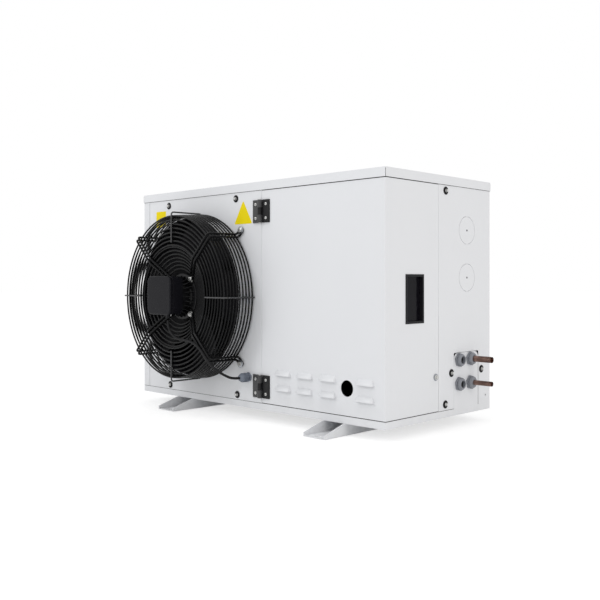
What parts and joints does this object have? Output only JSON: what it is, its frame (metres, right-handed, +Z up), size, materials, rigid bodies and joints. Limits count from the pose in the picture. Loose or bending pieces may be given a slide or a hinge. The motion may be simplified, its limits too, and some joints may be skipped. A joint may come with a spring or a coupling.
{
  "type": "refrigeration condensing unit",
  "caption": "Box-type outdoor condensing unit: sheet-metal cabinet with a dished wire fan guard, hinged wrap-round louvred door, pipe stubs and slotted foot rails.",
  "frame": {"origin": "floor level, at the centre of the four anchor slots in the foot rails", "axes": "+X to the unit's right seen from the fan side, +Y to the back, +Z up"},
  "size_m": [1.0598, 0.671, 0.65],
  "materials": {
    "white_paint": "satin powder coat",
    "galvanised": "galvanised sheet",
    "plated_screws": "zinc plated",
    "black_wire": "gloss black coating",
    "black_metal": "black paint",
    "black_plastic": "matte",
    "black_rubber": "matte",
    "grey_plastic": "matte",
    "dark_glass": "clear tinted",
    "copper": "copper tube",
    "brass": "forged brass",
    "aluminium_fins": "bare fins"
  },
  "bodies": {
    "cabinet": {"base_tray": "white_paint", "cabinet_hinge_leaves": "black_metal", "cabinet_hinge_screws": "plated_screws", "coil_block": "aluminium_fins", "coil_end_plates": "galvanised", "coil_guard": "black_wire", "coil_header": "copper", "compressor": "black_metal", "compressor_bolts": "plated_screws", "compressor_feet": "galvanised", "compressor_mounts": "black_rubber", "compressor_terminals": "black_plastic", "condensate_pipe": "copper", "control_bracket": "galvanised", "controller": "black_plastic", "discharge_pipe": "copper", "electrical_box": "galvanised", "electrical_cover": "galvanised", "fan_cable": "black_rubber", "fan_gland": "grey_plastic", "fan_guard": "black_wire", "fan_panel": "white_paint", "filter_drier": "black_metal", "foot_rail_left": "white_paint", "foot_rail_right": "white_paint", "gland_plate": "white_paint", "guard_screws": "plated_screws", "head_rail": "white_paint", "hinge_pins": "plated_screws", "left_side_panel": "white_paint", "liquid_inlet": "copper", "liquid_outlet": "copper", "liquid_valve": "brass", "motor_screws": "plated_screws", "motor_stator": "black_metal", "panel_screws": "plated_screws", "partition": "galvanised", "pipe_glands": "grey_plastic", "pressure_switch": "black_plastic", "rail_bolts": "plated_screws", "rear_panel": "white_paint", "receiver": "black_metal", "receiver_foot": "galvanised", "return_bends": "copper", "right_side_panel": "white_paint", "suction_pipe": "copper", "suction_valve": "brass", "terminal_box": "black_plastic", "terminal_box_lid": "black_plastic", "top_cover": "white_paint"},
    "door": {"door": "white_paint", "window_bezel": "black_plastic", "window_pane": "dark_glass", "door_screw": "plated_screws", "door_hinge_leaves": "black_metal", "door_hinge_screws": "plated_screws"},
    "fan_rotor": {"rotor_can": "black_metal", "fan_impeller": "black_plastic"},
    "suction_spindle": {"suction_spindle": "plated_screws"},
    "liquid_spindle": {"liquid_spindle": "plated_screws"}
  },
  "joints": [
    {"name": "door_hinge", "type": "hinge", "parent": "cabinet", "child": "door", "pos_m": [0.0345, -0.232, 0.3315], "axis": [0, 0, -1], "range_deg": [0, 100]},
    {"name": "fan_spin", "type": "hinge", "parent": "cabinet", "child": "fan_rotor", "pos_m": [-0.233, -0.225, 0.335], "axis": [0, 1, 0], "continuous": true},
    {"name": "suction_valve_turn", "type": "hinge", "parent": "cabinet", "child": "suction_spindle", "pos_m": [0.34, 0.03, 0.262], "axis": [0, 0, 1], "range_deg": [0, 90]},
    {"name": "liquid_valve_turn", "type": "hinge", "parent": "cabinet", "child": "liquid_spindle", "pos_m": [0.345, 0.076, 0.111], "axis": [0, 0, 1], "range_deg": [0, 90]}
  ]
}
